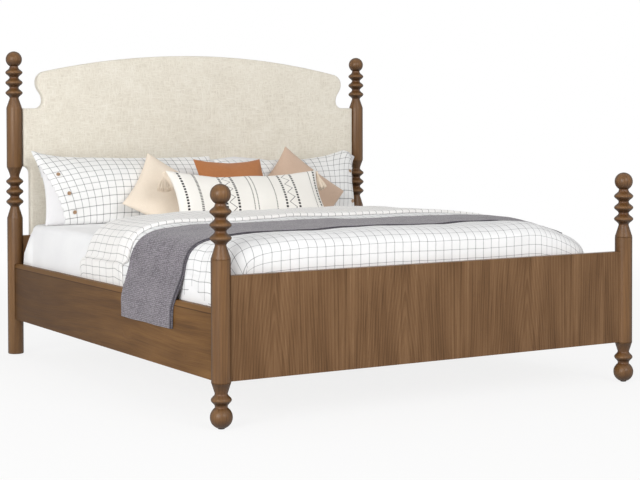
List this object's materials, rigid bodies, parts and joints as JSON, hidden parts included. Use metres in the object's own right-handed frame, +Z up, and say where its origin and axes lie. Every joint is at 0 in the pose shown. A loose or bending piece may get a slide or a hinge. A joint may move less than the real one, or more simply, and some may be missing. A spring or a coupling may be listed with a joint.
{
  "type": "upholstered bed",
  "caption": "Low turned-post bed with an arched padded headboard, wood panel foot and hooked side rails over slats, made up with a check duvet, knitted throw and cushions.",
  "frame": {"origin": "on the floor, under the middle of the bed's overall box", "axes": "+X to the right seen from the foot, +Y towards the headboard, +Z up"},
  "size_m": [2.0866, 2.2854, 1.4981],
  "materials": {
    "stained_wood": "satin walnut stain",
    "slat_wood": "sanded, unfinished",
    "plywood": "raw board",
    "plated_steel": "zinc plated",
    "black_nylon": "matte",
    "boucle_upholstery": "nubby oatmeal weave",
    "lining_cloth": "thin black lining",
    "mattress_ticking": "knitted ticking",
    "white_cotton": "plain percale",
    "check_cotton": "white with thin grey windowpane lines",
    "grey_knit": "chunky knit",
    "beige_linen": "slub linen",
    "taupe_linen": "slub linen",
    "rust_linen": "plain weave",
    "cream_cotton": "woven stripes of dots and zigzags, tassels"
  },
  "bodies": {
    "bed_frame": {"headboard_post_left": "stained_wood", "headboard_post_right": "stained_wood", "footboard_post_left": "stained_wood", "footboard_post_right": "stained_wood", "footboard_panel": "stained_wood", "headboard_lower_panel": "stained_wood", "side_rail_left": "stained_wood", "side_rail_right": "stained_wood", "slat_ledge_left": "slat_wood", "slat_ledge_right": "slat_wood", "centre_beam": "slat_wood", "centre_leg_foot": "slat_wood", "centre_leg_head": "slat_wood", "slat_01": "slat_wood", "slat_02": "slat_wood", "slat_03": "slat_wood", "slat_04": "slat_wood", "slat_05": "slat_wood", "slat_06": "slat_wood", "slat_07": "slat_wood", "slat_08": "slat_wood", "slat_09": "slat_wood", "slat_10": "slat_wood", "slat_11": "slat_wood", "headboard_dowel_lower_left": "slat_wood", "headboard_dowel_lower_right": "slat_wood", "headboard_dowel_upper_left": "slat_wood", "headboard_dowel_upper_right": "slat_wood", "headboard_core": "plywood", "beam_shoe_foot": "plated_steel", "beam_shoe_head": "plated_steel", "slot_plate_head_left": "plated_steel", "slot_plate_head_right": "plated_steel", "slot_plate_foot_left": "plated_steel", "slot_plate_foot_right": "plated_steel", "hook_plate_head_left": "plated_steel", "hook_plate_head_right": "plated_steel", "hook_plate_foot_left": "plated_steel", "hook_plate_foot_right": "plated_steel", "floor_pad_head_left": "black_nylon", "floor_pad_head_right": "black_nylon", "floor_pad_foot_left": "black_nylon", "floor_pad_foot_right": "black_nylon", "headboard_padding": "boucle_upholstery", "headboard_back_cover": "lining_cloth", "mattress": "mattress_ticking", "fitted_sheet": "white_cotton", "sleeping_pillow": "white_cotton", "duvet": "check_cotton", "sham_left": "check_cotton", "sham_right": "check_cotton", "folded_throw": "grey_knit", "cushion_beige": "beige_linen", "cushion_taupe": "taupe_linen", "cushion_rust": "rust_linen", "cushion_lumbar": "cream_cotton"},
    "glide_foot": {"levelling_glide_foot": "black_nylon"},
    "glide_head": {"levelling_glide_head": "black_nylon"}
  },
  "joints": [
    {"name": "glide_foot_thread", "type": "slide", "parent": "bed_frame", "child": "glide_foot", "axis": [0, 0, 1], "range_m": [-0.015, 0]},
    {"name": "glide_head_thread", "type": "slide", "parent": "bed_frame", "child": "glide_head", "axis": [0, 0, 1], "range_m": [-0.015, 0]}
  ]
}
